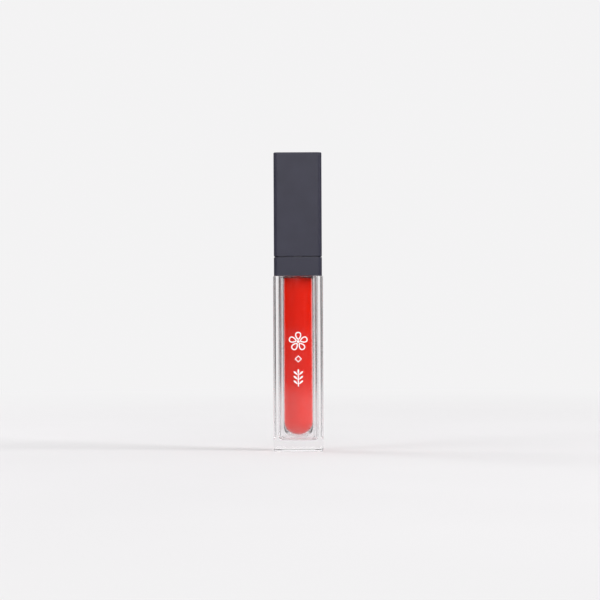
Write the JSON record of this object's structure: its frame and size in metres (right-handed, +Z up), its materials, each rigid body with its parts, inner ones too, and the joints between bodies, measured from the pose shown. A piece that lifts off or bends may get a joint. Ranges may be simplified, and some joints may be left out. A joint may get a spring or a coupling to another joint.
{
  "type": "lip gloss tube",
  "caption": "Square clear lip gloss bottle with a round inner vial of red gloss, a black collar and a tall black square screw cap that carries a doe-foot wand.",
  "frame": {"origin": "centre of the underside of the base, on the tube's axis", "axes": "+Z up along the tube's axis from the base to the cap, -Y out of the printed front, +X to the right seen from the front"},
  "size_m": [0.019, 0.019, 0.1141],
  "materials": {
    "jacket_clear": "clear polished acrylic",
    "vial_clear": "clear polished plastic",
    "gloss_red": "wet opaque orange-red liquid",
    "wiper_plastic": "soft waxy translucent white",
    "satin_black": "satin black",
    "natural_plastic": "semi-gloss natural white",
    "gasket_foam": "soft matt white foam",
    "flock_fibre": "short velvet fibres soaked in gloss"
  },
  "bodies": {
    "bottle": {"bottle_jacket": "jacket_clear", "inner_vial": "vial_clear", "lip_gloss": "gloss_red", "wiper": "wiper_plastic", "collar": "satin_black"},
    "gasket": {"cap_gasket": "gasket_foam"},
    "stem": {"wand_stem": "natural_plastic"},
    "cap": {"cap_shell": "satin_black", "cap_insert": "natural_plastic", "applicator_core": "natural_plastic", "applicator_flock": "flock_fibre"}
  },
  "joints": [
    {"name": "wand_pull", "type": "slide", "parent": "bottle", "child": "gasket", "axis": [0, 0, 1], "range_m": [0, 0.085], "deforming": ["wiper"]},
    {"name": "thread_rise", "type": "slide", "parent": "gasket", "child": "stem", "axis": [0, 0, 1], "range_m": [0, 0.0036]},
    {"name": "cap_turn", "type": "hinge", "parent": "stem", "child": "cap", "pos_m": [0, 0, 0.0745], "axis": [0, 0, 1], "range_deg": [0, 495]}
  ],
  "couplings": [
    {"joint": "thread_rise", "follows": "cap_turn", "m_per_rad": 0.0004138}
  ]
}
